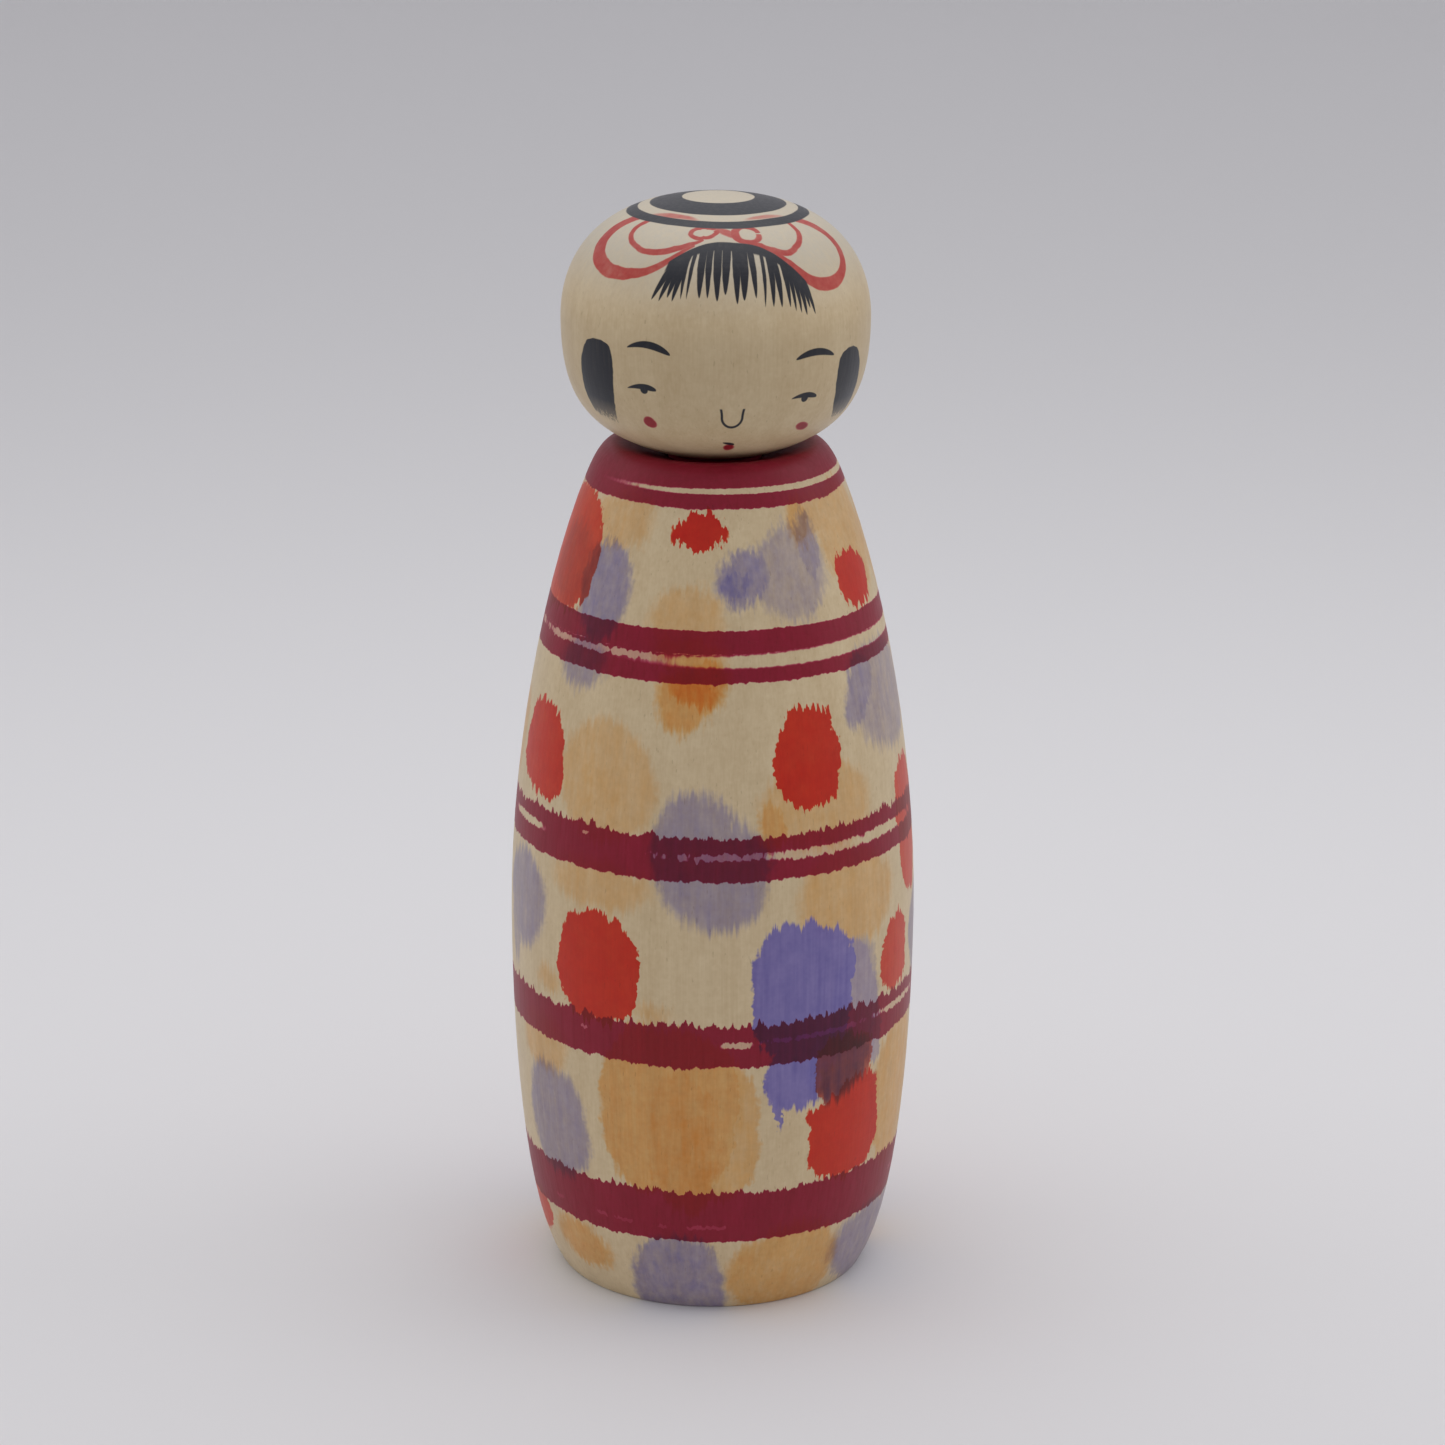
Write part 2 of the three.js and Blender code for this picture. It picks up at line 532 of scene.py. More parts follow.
bodyDyes = {
    "mm per degree": 0.45,  # how wide a degree is taken to be when a dab leans
    "amber": (0.925, 0.326, 0.054),  # what a full depth of each dye leaves of red, green and blue
    "violet": (0.170, 0.185, 0.96),
    "vermilion": (0.85, 0.045, 0.015),
    "crimson": (0.385, 0.006, 0.066),
    "deep violet": (0.140, 0.115, 0.375, 1),  # this one hides the wood instead
    "thin violet": (0.250, 0.210, 0.480, 1),
    "soft edge": 2.0,  # mm
    "full amber edge": 1.2,
    "deep violet edge": 0.66,
    "hard edge": 0.22,
    # how a brush strays: degrees round the doll, mm up it, mm along the fibres, and fine degrees
    "soft brush": (9.0, 3.4, 4.5, 2.5),
    "hard brush": (8.0, 2.6, 4.0, 2.6),
    # how see-through dye pools: its least depth, and what ripples, streaks and grit add
    "pooling": (0.275, 0.55, 0.8, 0.25),
    "streaks": (0.8, 14.0),  # mm across the fibres and along them
    "vermilion depth": (0.8, 0.4),  # the least, and what ripples add
    "crimson depth": (0.82, 0.36),  # the least, and what fibres add
    "crimson roughness": 0.05,
    "fibre roughness": 0.16,
    "teeth": (0.8, 24.0),  # mm: the dye's teeth along the bands, across the fibres and along them
    "tooth strength": 3.2,
    "tooth level": 0.8,  # how much of the creep the whole edge is moved back by
    "tooth patches": (0.25, 1.5),  # the least, and what the cloud adds
    "band drift": 0.7,  # mm
    "band grit": 0.25,
    "band edge": 0.1,
    # mm of dye creeping into a gap: the least, and what is added up to a height and gone at another
    "gap creep": {"least": 0.25, "added": 0.8, "up to": 80, "gone at": 90},
    "gap brush": (0.35, 1.5),  # mm up the doll, and fine degrees
    "gap edge": (0.75, 1.2),  # shares of the gap's reach where it is bare, and where it ends
    "gap breaks": {"size": 1.1, "stretch": 0.4, "strength": 5},
    "square": 1.35,  # 1 gives oval dabs, 2 gives nearly square ones
    # each band is (bottom, top, how far the dye creeps down, how far it creeps up)
    "bands": [
        (110.9, 123.3, 0.20, 0.0),
        (92.8, 95.8, 0.22, 0.16),
        (89.1, 92.9, 0.26, 0.22),
        (63.2, 69.1, 0.45, 1.10),
        (37.4, 43.2, 0.50, 1.30),
        (11.3, 18.9, 0.40, 1.10),
    ],
    # each gap that the brush left is (turn, height, half width, half height, how broken, how bare)
    "gaps": [
        (62, 112.98, 114, 0.40, 0.05, 1.0),
        (72, 91.92, 100, 0.98, 0.10, 1.0),
        (-40, 92.15, 40, 0.42, 0.9, 0.85),
        (-68, 66.55, 11.5, 0.58, 0.1, 1.0),
        (-39, 67.9, 1.2, 0.22, 0.3, 0.8),
        (3, 66.5, 15, 0.42, 1.0, 0.75),
        (34, 66.3, 18, 0.66, 0.45, 0.95),
        (60, 66.4, 21, 0.76, 0.3, 1.0),
        (150, 66.3, 50, 0.42, 1.0, 0.8),
        (-150, 66.7, 26, 0.60, 0.6, 0.9),
        (7.5, 40.5, 4.8, 0.46, 0.3, 0.9),
        (33, 40.8, 20, 0.30, 1.2, 0.35),
        (66, 40.9, 13, 0.46, 0.5, 0.95),
        (140, 40.7, 46, 0.50, 1.0, 0.8),
        (-38.5, 41.0, 1.2, 0.22, 0.3, 0.6),
        (-55, 13.6, 2.0, 0.30, 0.4, 0.30),
        (-35.5, 13.6, 2.2, 0.30, 0.4, 0.35),
        (-28, 13.5, 3.0, 0.26, 0.9, 0.30),
        (-15, 13.4, 1.4, 0.28, 0.4, 0.30),
        (-2, 13.4, 6.0, 0.26, 1.1, 0.35),
        (130, 14.8, 40, 0.40, 1.2, 0.6),
    ],
}


# The body is painted one field at a time. Each field is cut off under a crimson band, and takes
# only the dabs that reach into it, so that every field stays quick to draw.
class DyedField(Painted):
    def __init__(self, name, bottom, top):
        super().__init__(name)
        self.bottom = bottom
        self.top = top

    def reaches(self, height, halfHeight):
        margin = fieldOverlap + halfHeight
        return self.bottom - margin < height < self.top + margin

    # places on the brushed surface, shaken by the brush and by the dye's creep along the grain
    def brushed(self, swing, sway, creep, jag):
        comb = self.fibre - 0.5
        turn = self.turn + self.wobble(self.cloud, 0) * swing + self.wobble(self.ripple, 0) * jag
        turn = turn + self.wobble(self.grit, 0) * jag
        height = self.z + self.wobble(self.cloud, 1) * sway + comb * creep
        return self.join(turn * bodyDyes["mm per degree"], height)

    # how far out each place is from the middle of a dab, 1 being its edge
    def outward(self, canvas, turn, height, halfWidth, halfHeight, lean, square):
        scale = bodyDyes["mm per degree"]
        values = {
            "Vector": canvas,
            "Location": (turn * scale, height, 0),
            "Rotation": (0, 0, lean * degree),
            "Scale": (halfWidth * scale, halfHeight, 1),
        }
        inside = self.node("ShaderNodeMapping", {"vector_type": "TEXTURE"}, values)
        if square:
            power = (bodyDyes["square"],) * 3
            inside = self.vector("POWER", self.vector("ABSOLUTE", inside), power)
        return self.vector("LENGTH", inside, output=1)

    # the depth of dye from a list of dabs; those that pass the back are laid on both sides of it
    def dabs(self, canvas, table, edge, square=False):
        total = 0.0
        for turn, height, halfWidth, halfHeight, lean, depth in table:
            if not self.reaches(height, halfHeight + halfWidth * abs(lean) * 0.008):
                continue
            turns = [turn]
            if abs(turn) + halfWidth * 1.5 > 180:
                turns.append(turn - math.copysign(360, turn))
            for place in turns:
                softness = edge / (2 * halfHeight)
                full, none = 1 - softness, 1 + softness
                if square:
                    full, none = full ** bodyDyes["square"], none ** bodyDyes["square"]
                out = self.outward(canvas, place, height, halfWidth, halfHeight, lean, square)
                total = self.larger(total, self.fade(out, full, none) * depth)
        return total

    def bands(self):
        least, added = bodyDyes["tooth patches"]
        reach = least + self.part(self.cloud, 0) * added
        comb = self.fibres(*bodyDyes["teeth"], 3.0) ** 2.0 * bodyDyes["tooth strength"] * reach
        drift = self.wobble(self.cloud, 2) * bodyDyes["band drift"]
        level = self.z + drift + self.wobble(self.grit, 2) * bodyDyes["band grit"]
        back = bodyDyes["tooth level"]
        edge = bodyDyes["band edge"]
        total = 0.0
        for bottom, top, creepDown, creepUp in bodyDyes["bands"]:
            if not self.reaches((bottom + top) / 2, (top - bottom) / 2):
                continue
            above = level + comb * creepDown - creepDown * back
            below = level - comb * creepUp + creepUp * back
            laid = self.fade(above, bottom + edge, bottom - edge)
            laid = laid * self.fade(below, top - edge, top + edge)
            total = self.larger(total, laid)
        return total

    def gaps(self):
        creep = bodyDyes["gap creep"]
        sway, jag = bodyDyes["gap brush"]
        creeping = self.fade(self.z, creep["up to"], creep["gone at"]) * creep["added"] + creep["least"]
        canvas = self.brushed(0.0, sway, creeping, jag)
        broke = bodyDyes["gap breaks"]
        place = self.join(self.turn * bodyDyes["mm per degree"], self.z * broke["stretch"])
        breaks = self.noise(place, broke["size"], 2.0, 0.6) - 0.5
        total = 0.0
        for turn, height, halfWidth, halfHeight, broken, bare in bodyDyes["gaps"]:
            if not self.reaches(height, halfHeight):
                continue
            out = self.outward(canvas, turn, height, halfWidth, halfHeight, 0, True)
            out = out + breaks * (broken * broke["strength"])
            total = self.larger(total, self.fade(out, *bodyDyes["gap edge"]) * bare)
        return total

    def paint(self):
        soft = self.brushed(*bodyDyes["soft brush"])
        hard = self.brushed(*bodyDyes["hard brush"])
        least, rippled, streaked, gritty = bodyDyes["pooling"]
        streaks = self.fibres(*bodyDyes["streaks"])
        pooled = least + self.part(self.ripple, 2) * rippled + streaks * streaked
        pooled = pooled + self.wobble(self.grit, 1) * gritty
        amber = self.dabs(soft, amberDabs, bodyDyes["soft edge"])
        full = self.dabs(soft, fullAmberDabs, bodyDyes["full amber edge"], True)
        amber = self.larger(amber, full) * pooled
        violet = self.dabs(soft, violetDabs, bodyDyes["soft edge"]) * pooled
        deep = self.dabs(hard, deepVioletDabs, bodyDyes["deep violet edge"], True)
        pigment = self.blend("MIX", pooled * 1.5 - 0.8, bodyDyes["thin violet"], bodyDyes["deep violet"])
        vermilion = self.dabs(hard, vermilionDabs, bodyDyes["hard edge"], True)
        least, rippled = bodyDyes["vermilion depth"]
        vermilion = vermilion * (least + self.part(self.ripple, 1) * rippled)
        least, fibrous = bodyDyes["crimson depth"]
        crimson = self.bands() * (1 - self.gaps()) * (least + self.fibre * fibrous)
        colour = self.glaze(self.bareWood(), amber, bodyDyes["amber"])
        colour = self.glaze(colour, violet, bodyDyes["violet"])
        colour = self.blend("MIX", deep, colour, pigment)
        colour = self.glaze(colour, vermilion, bodyDyes["vermilion"])
        colour = self.glaze(colour, crimson, bodyDyes["crimson"])
        roughness = wood["roughness"] + crimson * bodyDyes["crimson roughness"]
        return self.finish(colour, roughness + (self.fibre - 0.5) * bodyDyes["fibre roughness"])


bodyFields = {  # mm: where each field starts, from the foot up
    "footField": 0.0,
    "skirtField": 15.3,
    "waistField": 40.3,
    "chestField": 66.3,
    "shoulderField": 92.3,
}


# gives each face of a piece the finish of the field that its middle lies in
def paintFields(piece, starts, finishes):
    piece.data.materials.clear()
    for finish in finishes:
        piece.data.materials.append(finish)
    for face in piece.data.polygons:
        height = face.center.z / mm
        face.material_index = max(sum(height >= start for start in starts) - 1, 0)


def paintBody():
    starts = list(bodyFields.values())
    ends = starts[1:] + [bodyShape["rim"][1]]
    finishes = [
        DyedField(name, start, end).paint() for name, start, end in zip(bodyFields, starts, ends)
    ]
    paintFields(body, starts, finishes)
    print("body painted:", [len(finish.node_tree.nodes) for finish in finishes], "nodes")


paintBody()


headPaint = {
    "ink": (0.016, 0.017, 0.024, 1),
    "darkened": (0.885, 0.875, 0.860, 1),  # what the darker wood of the face keeps of each colour
    "darkened from": (31, 23),  # mm from the pole: full beyond the first, none within the second
    "ribbon": (0.76, 0.105, 0.110),
    "rouge": (0.46, 0.022, 0.065),
    "paintedChinShade": (115.2, 115.9),  # mm: painted shade under the chin, a crimson glaze that is full below the first height and gone above the second
    # painted sheen: the crown's wood is painted paler and greyer round the pole, where the light from above
    # falls
    "faded wood": (0.535, 0.480, 0.385, 1),
    "paintedSheen": (17.0, 27.0),  # mm from the pole: the painted sheen is full within the first and gone beyond the second
    "crown centre": 128.3,  # mm, the height that the crown is measured round
    "crown reach": 21.6,  # mm of surface for each radian away from the pole
    "faded depth": (0.55, 0.6),  # the least, and what fibres add
    "ink depth": (0.96, 0.08),
    "ink gloss": 0.06,  # how much smoother ink is than wood
    "fibre roughness": 0.14,
    # how ribbon dye pools: its least depth, and what ripples and grit add
    "ribbon pooling": (0.28, 0.9, 0.45),
    # rings on the crown, as (inner, outer) distances over the surface from the pole
    "rings": [(4.95, 9.25), (10.9, 12.5)],
    "ring edge": 0.08,
    "ring middle": (0.25, 0.0),  # mm right and back of the pole
}

# Ribbon loops, each a brush stroke round its own middle, anticlockwise seen from above:
# points are (right, back, half width) in mm over the crown, from the pole.
ribbonLoops = [
    {
        "middle": (-11.0, -11.0),
        "stroke": [
            (-10.2, -5.9, 0.75), (-11.8, -5.6, 0.95), (-14.1, -5.8, 1.10), (-15.9, -7.0, 1.15),
            (-16.7, -9.2, 1.08), (-16.3, -12.0, 1.0), (-14.6, -14.7, 0.88), (-12.2, -16.5, 0.75),
            (-9.7, -17.4, 0.52), (-7.6, -17.35, 0.45), (-6.1, -16.9, 0.38), (-4.5, -16.1, 0.30),
            (-3.0, -15.5, 0.20),
        ],
    },
    {
        "middle": (12.5, -11.0),
        "stroke": [
            (5.0, -14.6, 0.20), (6.4, -14.8, 0.30), (8.5, -15.2, 0.36), (10.3, -15.7, 0.45),
            (12.1, -16.2, 0.58), (13.9, -16.35, 0.75), (15.3, -15.9, 0.85), (16.8, -14.7, 0.85),
            (18.1, -12.9, 0.80), (18.7, -10.4, 0.66), (18.5, -8.3, 0.60), (17.5, -6.4, 0.66),
            (16.0, -5.5, 0.75), (13.9, -5.2, 0.80), (11.9, -5.6, 0.72), (10.6, -6.2, 0.60),
        ],
    },
    {
        "middle": (-7.5, -11.5),
        "stroke": [
            (-8.4, -7.9, 0.30), (-9.7, -8.2, 0.48), (-10.8, -8.6, 0.45), (-11.5, -9.6, 0.36),
            (-11.6, -11.0, 0.34), (-10.8, -12.9, 0.36), (-9.4, -14.5, 0.42), (-7.9, -15.3, 0.50),
            (-5.4, -15.45, 0.50), (-3.3, -15.15, 0.38), (-1.8, -14.7, 0.22),
        ],
    },
    {
        "middle": (7.5, -11.5),
        "stroke": [
            (3.0, -14.4, 0.25), (4.2, -14.5, 0.40), (6.0, -14.75, 0.46), (8.1, -14.85, 0.48),
            (10.1, -14.2, 0.42), (11.0, -12.6, 0.38), (11.4, -10.8, 0.38), (11.1, -9.2, 0.34),
            (10.1, -8.2, 0.30), (9.0, -7.6, 0.24),
        ],
    },
    {
        "middle": (-1.7, -13.3),
        "stroke": [
            (-0.2, -12.75, 0.30), (-1.0, -12.45, 0.30), (-2.3, -12.4, 0.32), (-3.2, -12.8, 0.32),
            (-3.4, -13.4, 0.30), (-2.8, -14.05, 0.34), (-1.6, -14.25, 0.32), (-0.4, -13.95, 0.32),
            (0.15, -13.3, 0.36), (-0.1, -12.85, 0.30),
        ],
    },
    {
        "middle": (4.2, -13.1),
        "stroke": [
            (5.6, -12.5, 0.32), (5.2, -12.0, 0.34), (4.2, -11.8, 0.34), (3.2, -12.1, 0.30),
            (2.6, -12.8, 0.48), (2.6, -13.7, 0.62), (3.1, -14.4, 0.48), (4.4, -14.5, 0.32),
            (5.5, -14.1, 0.32), (5.8, -13.3, 0.36), (5.65, -12.6, 0.32),
        ],
    },
]

# Loose touches of ribbon dye: (right, back, half length, half width, lean, depth)
ribbonTouches = [
    (1.6, -13.4, 1.9, 0.58, -24, 0.80),
    (-5.6, -8.4, 3.4, 0.55, -33, 0.55),
    (6.4, -8.2, 2.7, 0.42, 36, 0.45),
]

fringe = {
    "root": (2.0, -4.0),  # mm over the crown, where the strands would all meet
    "top": 11.05,
    "arch": 2.0,
    "arch angle": 26,
    "arch shift": 2.5,
    "cap": 1.45,  # mm, how thick the solid part is
    "spread": (-32.3, 41.0),
    "start": 13.0,  # mm from the root, where a strand leaves the cap
    "half width": 0.50,
    "point": 3.6,  # mm, how long the pointed end is
    # each strand is (angle at its start, angle at its tip, how far its tip is from the root, width)
    "strands": [
        (-27.0, -34.4, 21.1, 1.05), (-26.0, -31.0, 21.0, 1.0), (-25.0, -27.6, 20.3, 1.1),
        (-23.5, -25.1, 20.6, 1.0), (-24.2, -21.4, 20.1, 0.7), (-20.6, -18.9, 20.0, 0.58),
        (-16.2, -13.4, 19.5, 1.12), (-12.2, -9.7, 19.3, 0.95), (-7.4, -5.2, 19.5, 1.18),
        (-2.2, -1.7, 18.6, 1.22), (3.3, 4.0, 19.6, 1.10), (7.7, 7.3, 19.1, 1.32),
        (12.5, 13.0, 18.8, 0.95), (19.0, 17.1, 20.0, 0.58), (23.2, 21.1, 19.9, 0.95),
        (25.8, 25.2, 20.0, 1.0), (30.6, 29.4, 20.1, 0.9), (32.6, 32.1, 20.7, 0.8),
        (34.4, 34.9, 21.0, 0.85), (36.0, 37.6, 21.4, 0.95), (37.0, 39.8, 20.6, 1.0),
        (37.5, 42.3, 21.5, 0.9),
    ],
}

face = {
    "bottom": 115.8,  # mm: the face is painted between these heights, and the crown above them
    "top": 134.8,
    "mm per degree": 0.355,
    # locks beside the face: the height and turns of the two edges, from the bottom up
    "locks": [
        [
            (120.9, -51.5, -45.0), (121.9, -57.5, -44.2), (123.8, -59.6, -42.5), (127.3, -60.0, -40.9),
            (129.8, -58.3, -40.6), (131.3, -56.0, -41.4), (132.1, -53.8, -42.8), (132.45, -50.5, -46.0),
        ],
        [
            (120.5, 60.0, 66.0), (121.3, 58.0, 69.5), (123.1, 54.6, 70.4), (125.8, 52.2, 70.2),
            (128.4, 51.7, 68.6), (129.9, 52.6, 66.4), (130.6, 54.8, 64.0), (130.95, 57.5, 61.5),
        ],
    ],
    "dry end": 3.4,  # mm up from the bottom of a lock, where the brush ran dry
    # bristle marks: mm across the fibres, mm along them, and how much they show
    "bristles": [(0.20, 9.0, 0.75), (0.7, 16.0, 0.25)],
    "lock sway": 1.4,  # degrees
    # brows, lids and lips: (turn, height, half length in degrees, half width in mm, tilt, bow, how much
    # thicker the stroke is towards the right)
    "lines": [
        (-25.0, 132.74, 8.7, 0.50, -0.026, 0.0112, 0.30),
        (39.6, 131.38, 9.1, 0.50, -0.010, 0.0090, 0.0),
        (-28.3, 127.12, 6.2, 0.39, 0.010, 0.0100, 0.45),
        (35.9, 125.76, 6.0, 0.37, -0.008, 0.0100, 0.40),
        (6.4, 119.24, 2.9, 0.24, -0.060, 0.0, 0.2),
    ],
    # pupils: (turn, height, half width, half height)
    "pupils": [(-27.2, 126.72, 1.6, 0.56), (36.0, 125.36, 1.6, 0.56)],
    # mouth and cheeks
    "rouge": [
        (6.8, 118.54, 2.5, 0.52, 0),
        (-27.4, 122.15, 2.5, 0.74, 0),
        (-26.8, 122.0, 2.4, 0.66, 0),
        (39.7, 121.15, 3.3, 0.56, -14),
    ],
    "nose": {"turn": 6.7, "height": 123.35, "half width": 1.42, "top": 124.7, "line": 0.18},
}


class InkedHead(Painted):
    def __init__(self, name):
        super().__init__(name)
        out = self.maths("SQRT", self.x * self.x + self.y * self.y)
        fromPole = self.maths("ARCTAN2", out, self.z - headPaint["crown centre"]) * headPaint["crown reach"]
        self.fromPole = fromPole
        stretch = fromPole / self.larger(out, 0.001)
        self.crown = self.join(self.x * stretch, self.y * stretch)
        self.front = self.join(self.turn * face["mm per degree"], self.z)

    def shaken(self, canvas, amount):
        shake = self.vector("SUBTRACT", self.ripple, (0.5, 0.5, 0.5))
        shake = self.vector("MULTIPLY", shake, (amount, amount, 0))
        return self.vector("ADD", canvas, shake)

    def ellipse(self, canvas, across, up, halfWidth, halfHeight, lean=0):
        values = {
            "Vector": canvas,
            "Location": (across, up, 0),
            "Rotation": (0, 0, lean * degree),
            "Scale": (halfWidth, halfHeight, 1),
        }
        return self.node("ShaderNodeMapping", {"vector_type": "TEXTURE"}, values)

    def dab(self, canvas, across, up, halfWidth, halfHeight, edge, lean=0):
        inside = self.ellipse(canvas, across, up, halfWidth, halfHeight, lean)
        reach = self.vector("LENGTH", inside, output=1)
        softness = edge / (2 * halfHeight)
        return self.fade(reach, 1 - softness, 1 + softness)

    # a stroke that runs round a middle point, told by its points' angles, distances and widths
    def loop(self, canvas, middle, stroke):
        turns = []
        for right, back, halfWidth in stroke:
            angle = math.atan2(back - middle[1], right - middle[0])
            while turns and angle < turns[-1][0]:
                angle += 2 * math.pi
            turns.append((angle, math.dist((right, back), middle), halfWidth))
        start = turns[0][0] - 0.12
        stops = [
            ((angle - start) / (2 * math.pi), (far / 10, (wide + 0.5) / 2, 0))
            for angle, far, wide in turns
        ]
        first, last = stops[0], stops[-1]
        stops.insert(0, (first[0] - 0.012, (first[1][0], 0, 0)))
        stops.append((min(last[0] + 0.012, 1), (last[1][0], 0, 0)))
        local = self.vector("SUBTRACT", canvas, (*middle, 0))
        angle = self.maths("ARCTAN2", self.part(local, 1), self.part(local, 0))
        share = self.maths("FRACT", (angle - start) / (2 * math.pi))
        told = self.node("ShaderNodeValToRGB", {"stops": stops, "interpolation": "LINEAR"}, {0: share})
        away = abs(self.vector("LENGTH", local, output=1) - self.part(told, 0) * 10)
        return self.fade(away - self.part(told, 1) * 2 + 0.5, -0.10, 0.12)

    def ribbon(self):
        canvas = self.shaken(self.crown, 0.30)
        total = self.largest(self.loop(canvas, item["middle"], item["stroke"]) for item in ribbonLoops)
        for right, back, halfLength, halfWidth, lean, depth in ribbonTouches:
            touch = self.dab(canvas, right, back, halfLength, halfWidth, 0.35, lean)
            total = self.larger(total, touch * depth)
        least, rippled, gritty = headPaint["ribbon pooling"]
        return total * (least + self.part(self.ripple, 2) * rippled + self.part(self.grit, 1) * gritty)

    def rings(self):
        away = self.vector("SUBTRACT", self.crown, (*headPaint["ring middle"], 0))
        level = self.vector("LENGTH", away, output=1) + self.wobble(self.cloud, 0) * 0.5
        edge = headPaint["ring edge"]
        return self.largest(
            self.fade(level, outer - edge, outer + edge) * self.fade(level, inner + edge, inner - edge)
            for inner, outer in headPaint["rings"]
        )

    def fringe(self):
        local = self.vector("SUBTRACT", self.shaken(self.crown, 0.14), (*fringe["root"], 0))
        angle = self.maths("ARCTAN2", self.part(local, 0), 0 - self.part(local, 1)) / degree
        far = self.vector("LENGTH", local, output=1)
        bend = abs(angle - fringe["arch shift"]) / fringe["arch angle"]
        top = fringe["top"] + bend ** 2.8 * fringe["arch"]
        low, high = fringe["spread"]
        cap = self.fade(far - top, fringe["cap"] - 0.15, fringe["cap"] + 0.25)
        total = cap * self.fade(angle, high, high + 1) * self.fade(angle, low, low - 1)
        for start, end, tip, width in fringe["strands"]:
            left = tip - far
            lean = (start - end) / (tip - fringe["start"])
            off = abs(angle - end - left * lean) * far * degree
            point = self.maths("MINIMUM", left / fringe["point"], 1.0)
            wide = self.larger(point, 0.0) ** 0.36 * (fringe["half width"] * width + 0.12) - 0.12
            total = self.larger(total, self.fade(off - wide, -0.10, 0.07))
        return total * self.fade(far, top + 0.1, top - 0.1)

    def locks(self):
        fine, coarse = (self.fibres(wide, long) * share for wide, long, share in face["bristles"])
        bristle = fine + coarse
        inked = []
        for edges in face["locks"]:
            bottom, top = edges[0][0], edges[-1][0]
            middle = sum(left + right for _, left, right in edges) / (2 * len(edges))
            stops = [
                ((height - bottom) / (top - bottom), ((middle - left) / 20, (right - middle) / 20, 0))
                for height, left, right in edges
            ]
            level = (self.z - bottom) / (top - bottom)
            settings = {"stops": stops, "interpolation": "CARDINAL"}
            told = self.node("ShaderNodeValToRGB", settings, {0: level})
            turn = self.turn - middle + self.wobble(self.ripple, 0) * face["lock sway"]
            laid = self.fade(turn - self.part(told, 1) * 20, -0.3, 0.3)
            laid = laid * self.fade(0 - turn - self.part(told, 0) * 20, -0.3, 0.3)
            laid = laid * self.fade(self.z, top - 0.1, top + 0.1)
            laid = laid * self.fade(self.z, bottom, bottom - 0.3)
            dry = self.larger((bottom + face["dry end"] - self.z) / face["dry end"], 0.0)
            inked.append(laid * self.fade(dry - bristle * 1.35, -0.12, 0.20) * (1 - dry * 0.35))
        return self.largest(inked)

    def lines(self):
        inked = []
        for turn, height, halfLength, halfWidth, tilt, bow, skew in face["lines"]:
            off = self.turn - turn
            middle = off * tilt - off * off * bow + height
            swell = 1 - (off / halfLength) * (off / halfLength)
            wide = self.maths("SQRT", self.larger(swell, 0.0)) * (off * (skew / halfLength) + 1) * halfWidth
            laid = self.fade(abs(self.z - middle) - wide, -0.08, 0.05)
            inked.append(laid * self.fade(abs(off), halfLength - 0.2, halfLength))
        scale = face["mm per degree"]
        for turn, height, halfWidth, halfHeight in face["pupils"]:
            inked.append(self.dab(self.front, turn * scale, height, halfWidth * scale, halfHeight, 0.12))
        return self.largest(inked)

    def nose(self):
        shape = face["nose"]
        across = (self.turn - shape["turn"]) * face["mm per degree"]
        up = self.z - shape["height"]
        below = self.maths("MINIMUM", up, 0.0)
        far = self.maths("SQRT", across * across + below * below)
        flare = self.larger(up, 0.0) ** 2.0 * 0.10
        off = abs(far - flare - shape["half width"])
        line = self.fade(off, shape["line"] - 0.07, shape["line"] + 0.06)
        return line * self.fade(self.z, shape["top"] - 0.2, shape["top"])

    def rouge(self):
        scale = face["mm per degree"]
        canvas = self.shaken(self.front, 0.25)
        return self.largest(
            self.dab(canvas, turn * scale, height, halfWidth * scale, halfHeight, 0.3, lean)
            for turn, height, halfWidth, halfHeight, lean in face["rouge"]
        )

    def darkenedWood(self):
        full, none = headPaint["darkened from"]
        darker = self.fade(self.fromPole, full, none)
        return self.blend("MULTIPLY", darker, self.bareWood(), headPaint["darkened"])

    # painted shade: the head's underside is darkened with a crimson glaze where shade falls between head and
    # body
    def chinShadedWood(self):
        low, high = headPaint["paintedChinShade"]
        return self.glaze(self.darkenedWood(), self.fade(self.z, low, high), bodyDyes["crimson"])

    def paintNeck(self):
        uneven = (self.fibre - 0.5) * headPaint["fibre roughness"]
        return self.finish(self.chinShadedWood(), wood["roughness"] + uneven)

    def paintFace(self):
        ink = self.larger(self.larger(self.locks(), self.lines()), self.nose())
        return self.inked(self.glaze(self.chinShadedWood(), self.rouge(), headPaint["rouge"]), ink)

    def paintCrown(self):
        ink = self.larger(self.rings(), self.fringe())
        # painted sheen of the light from above: the crown is paler and greyer near the pole
        near, far = headPaint["paintedSheen"]
        least, fibrous = headPaint["faded depth"]
        sheenShare = self.fade(self.fromPole, near, far) * (least + self.fibre * fibrous)
        colour = self.blend("MIX", sheenShare, self.darkenedWood(), headPaint["faded wood"])
        return self.inked(self.glaze(colour, self.ribbon(), headPaint["ribbon"]), ink)

    def inked(self, colour, ink):
        least, fibrous = headPaint["ink depth"]
        colour = self.blend("MIX", ink * (least + self.fibre * fibrous), colour, headPaint["ink"])
        roughness = wood["roughness"] - ink * headPaint["ink gloss"]
        return self.finish(colour, roughness + (self.fibre - 0.5) * headPaint["fibre roughness"])


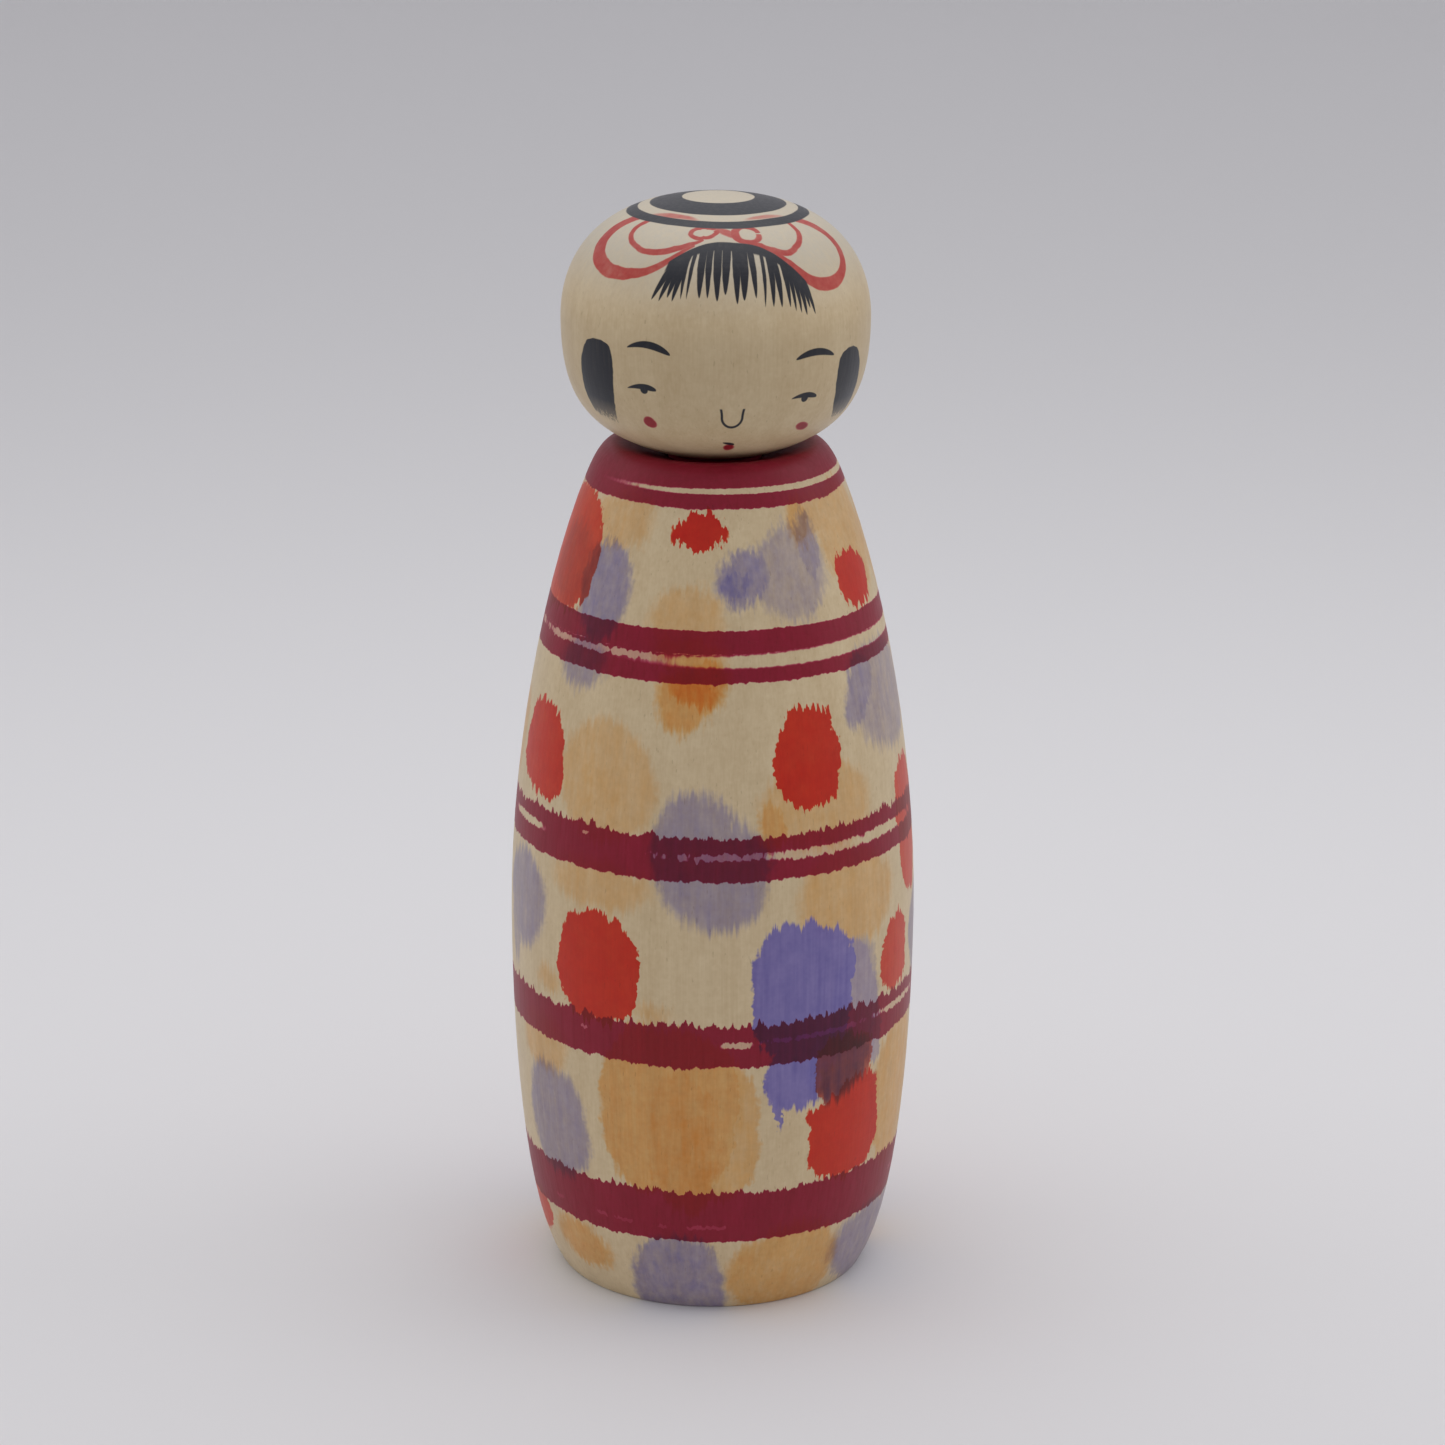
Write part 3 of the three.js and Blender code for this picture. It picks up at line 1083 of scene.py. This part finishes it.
def paintHead():
    finishes = [
        # the neck field carries the painted shade under the chin
        InkedHead("shadedNeckWood").paintNeck(),
        InkedHead("inkedFaceWood").paintFace(),
        InkedHead("inkedCrownWood").paintCrown(),
    ]
    paintFields(head, [0.0, face["bottom"], face["top"]], finishes)
    print("head painted:", [len(finish.node_tree.nodes) for finish in finishes], "nodes")


paintHead()

for piece, carrier, node, slot in (
    (body, "trunk", "barrel_body", "dyed_body_wood"),
    (head, "head", "head_with_neck_tenon", "inked_head_wood"),
):
    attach(piece, carrier)
    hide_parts(node)


quarterRound = 0.5523  # the share of its radius that a quarter circle's handles reach

studio = {
    "floor": 1.30,  # m, radius of the level floor
    "wall": 1.70,  # m, radius of the upright wall
    "height": 0.60,
    "paper": (0.80, 0.79, 0.80, 1),
    "air": (0.96, 0.96, 1.0, 1),
    "air strength": 0.55,
    # lamps: (name, place, aimed at, width, height, watts)
    "lamps": [
        ("skyLamp", (0.0, 0.60, 1.00), (0, 0.60, 0.0), 1.60, 1.60, 0.90),
        ("overheadLamp", (0.0, 0.06, 0.45), (0, 0.06, 0.0), 0.40, 0.40, 0.55),
        ("leftLamp", (-0.50, 0.05, 0.35), (0, 0, 0.08), 0.35, 0.45, 0.24),
        ("rightLamp", (0.50, 0.05, 0.35), (0, 0, 0.08), 0.35, 0.45, 0.42),
    ],
}


def makeStudio(room):
    bend = room["wall"] - room["floor"]
    grip = bend * quarterRound
    corners = [
        (0, 0, None, None),
        (room["floor"] / mm, 0, None, (grip / mm, 0)),
        (room["wall"] / mm, bend / mm, (0, -grip / mm), None),
        (room["wall"] / mm, room["height"] / mm, None, None),
    ]
    sweep = turnOnLathe("paperSweep", corners, 24, 96)
    bpy.ops.object.mode_set(mode="EDIT")
    bpy.ops.mesh.select_all(action="SELECT")
    bpy.ops.mesh.flip_normals()
    bpy.ops.object.mode_set(mode="OBJECT")
    paper = Recipe("palePaper")
    shader = paper.node("ShaderNodeBsdfDiffuse", {}, {"Color": room["paper"]})
    paper.node("ShaderNodeOutputMaterial", {}, {0: shader})
    sweep.data.materials.append(paper.material)
    world = bpy.data.worlds.new("studioAir")
    world.use_nodes = True
    air = world.node_tree.nodes["Background"]
    air.inputs["Color"].default_value = room["air"]
    air.inputs["Strength"].default_value = room["air strength"]
    bpy.context.scene.world = world
    for name, place, aim, width, height, watts in room["lamps"]:
        lamp = bpy.data.lights.new(name, "AREA")
        lamp.shape = "RECTANGLE"
        lamp.size = width
        lamp.size_y = height
        lamp.energy = watts
        holder = bpy.data.objects.new(name, lamp)
        bpy.context.collection.objects.link(holder)
        holder.location = place
        holder.rotation_euler = (Vector(aim) - Vector(place)).to_track_quat("-Z", "Y").to_euler()
        holder.visible_camera = False


makeStudio(studio)
print("studio set")
